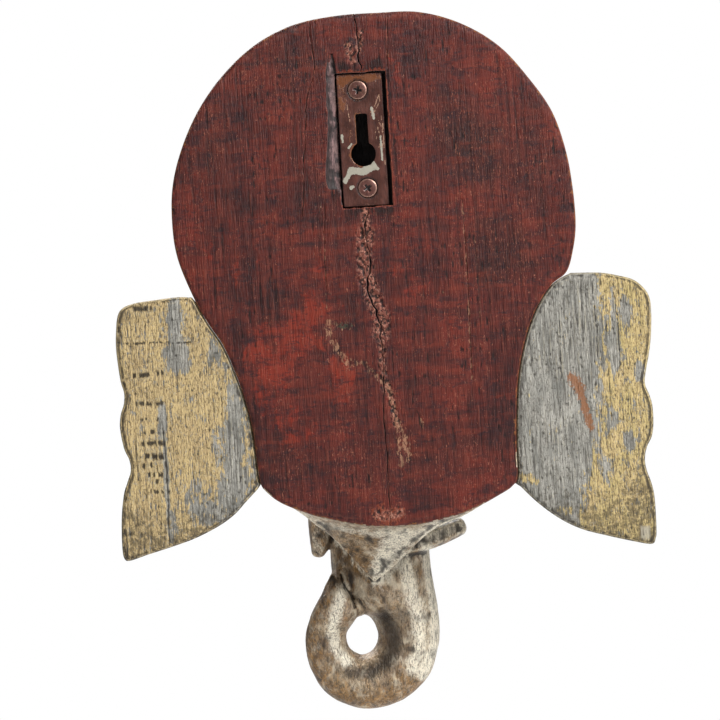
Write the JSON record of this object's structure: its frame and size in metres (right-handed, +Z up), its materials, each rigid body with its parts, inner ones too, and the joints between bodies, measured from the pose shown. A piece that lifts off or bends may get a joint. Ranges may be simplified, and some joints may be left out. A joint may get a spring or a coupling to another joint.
{
  "type": "wall mask",
  "caption": "Carved wooden elephant-headed wall mask with crown, curled trunk, tusks and ears; flat painted back with a keyhole hanger.",
  "frame": {"origin": "on the hanger plate's outer face, on its middle line, 4 mm above the keyhole slot", "axes": "+Z up as the mask hangs, +Y out of the flat back towards the wall, the face looks along -Y"},
  "size_m": [0.2282, 0.072, 0.2978],
  "materials": {
    "painted_wood": "worn red-brown paint on the back, worn gilding and grey on the carving",
    "gilded_wood": "worn gold paint over grey wood",
    "painted_steel": "steel painted over with the back, rusted and scratched",
    "screw_steel": "painted steel worn to metal on its edges"
  },
  "bodies": {
    "root": {"head": "painted_wood", "left_ear": "gilded_wood", "right_ear": "gilded_wood", "hanger_plate": "painted_steel", "upper_screw": "screw_steel", "lower_screw": "screw_steel"}
  },
  "joints": []
}
